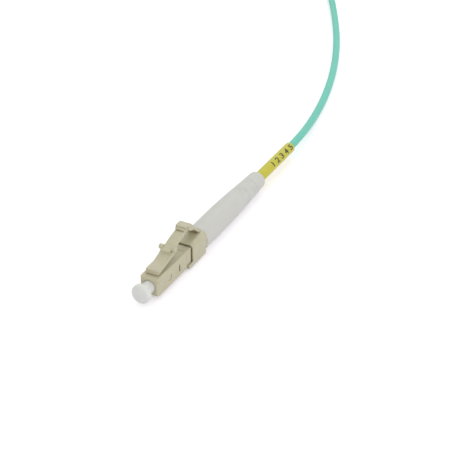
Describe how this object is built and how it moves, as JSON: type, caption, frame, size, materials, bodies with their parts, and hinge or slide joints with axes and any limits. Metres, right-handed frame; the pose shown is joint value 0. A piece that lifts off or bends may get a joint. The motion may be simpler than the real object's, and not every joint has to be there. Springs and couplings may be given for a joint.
{
  "type": "lc fibre optic connector pigtail",
  "caption": "LC fibre optic plug with latch and trigger, dust cap, tapered strain relief boot and a marker sleeve on a coiled round cable.",
  "frame": {"origin": "on the ferrule's axis in the plane of the plug's front face", "axes": "+Y along the ferrule towards the cable, +Z towards the latch, +X across"},
  "size_m": [0.0512, 0.2202, 0.0107],
  "materials": {
    "dust_cap": "translucent, satin",
    "plug_housing": "moulded, satin",
    "latch_arm": "moulded, satin",
    "back_body": "moulded, satin",
    "trigger_housing": "moulded, satin",
    "trigger_lever": "moulded, satin",
    "ferrule": "polished zirconia",
    "ferrule_flange": "nickel plated",
    "bare_fibre": "clear",
    "ferrule_spring": "bright wire",
    "guide_tube": "smooth",
    "tight_buffer": "smooth",
    "aramid_yarn": "yarn",
    "crimp_sleeve": "plain",
    "cable_jacket": "satin",
    "strain_boot": "soft, matt",
    "marker_sleeve": "satin",
    "cable_run": "satin",
    "cable_coil": "satin",
    "coil_tie_near": "satin",
    "coil_tie_far": "satin"
  },
  "bodies": {
    "plug": {"plug_housing": "plug_housing", "back_body": "back_body", "trigger_housing": "trigger_housing", "ferrule_spring": "ferrule_spring", "guide_tube": "guide_tube", "tight_buffer": "tight_buffer", "aramid_yarn": "aramid_yarn", "crimp_sleeve": "crimp_sleeve", "cable_jacket": "cable_jacket", "strain_boot": "strain_boot", "marker_sleeve": "marker_sleeve", "cable_run": "cable_run", "cable_coil": "cable_coil", "coil_tie_near": "coil_tie_near", "coil_tie_far": "coil_tie_far"},
    "latch": {"latch_arm": "latch_arm"},
    "trigger": {"trigger_lever": "trigger_lever"},
    "ferrule_group": {"ferrule": "ferrule", "ferrule_flange": "ferrule_flange", "bare_fibre": "bare_fibre"},
    "cap": {"dust_cap": "dust_cap"}
  },
  "joints": [
    {"name": "trigger_press", "type": "hinge", "parent": "plug", "child": "trigger", "pos_m": [0, 0.02085, 0.00275], "axis": [1, 0, 0], "range_deg": [0, 9]},
    {"name": "latch_flex", "type": "hinge", "parent": "plug", "child": "latch", "pos_m": [0, 0.002, 0.0022], "axis": [1, 0, 0], "range_deg": [-6, 0], "stiffness_Nm_per_rad": 0.005},
    {"name": "ferrule_float", "type": "slide", "parent": "plug", "child": "ferrule_group", "axis": [0, 1, 0], "range_m": [0, 0.0008], "stiffness_N_per_m": 200, "deforming": ["ferrule_spring", "tight_buffer"]},
    {"name": "dust_cap_pull", "type": "slide", "parent": "plug", "child": "cap", "axis": [0, -1, 0], "range_m": [0, 0.012]}
  ],
  "couplings": [
    {"joint": "trigger_press", "follows": "latch_flex", "ratio": -1.5}
  ]
}
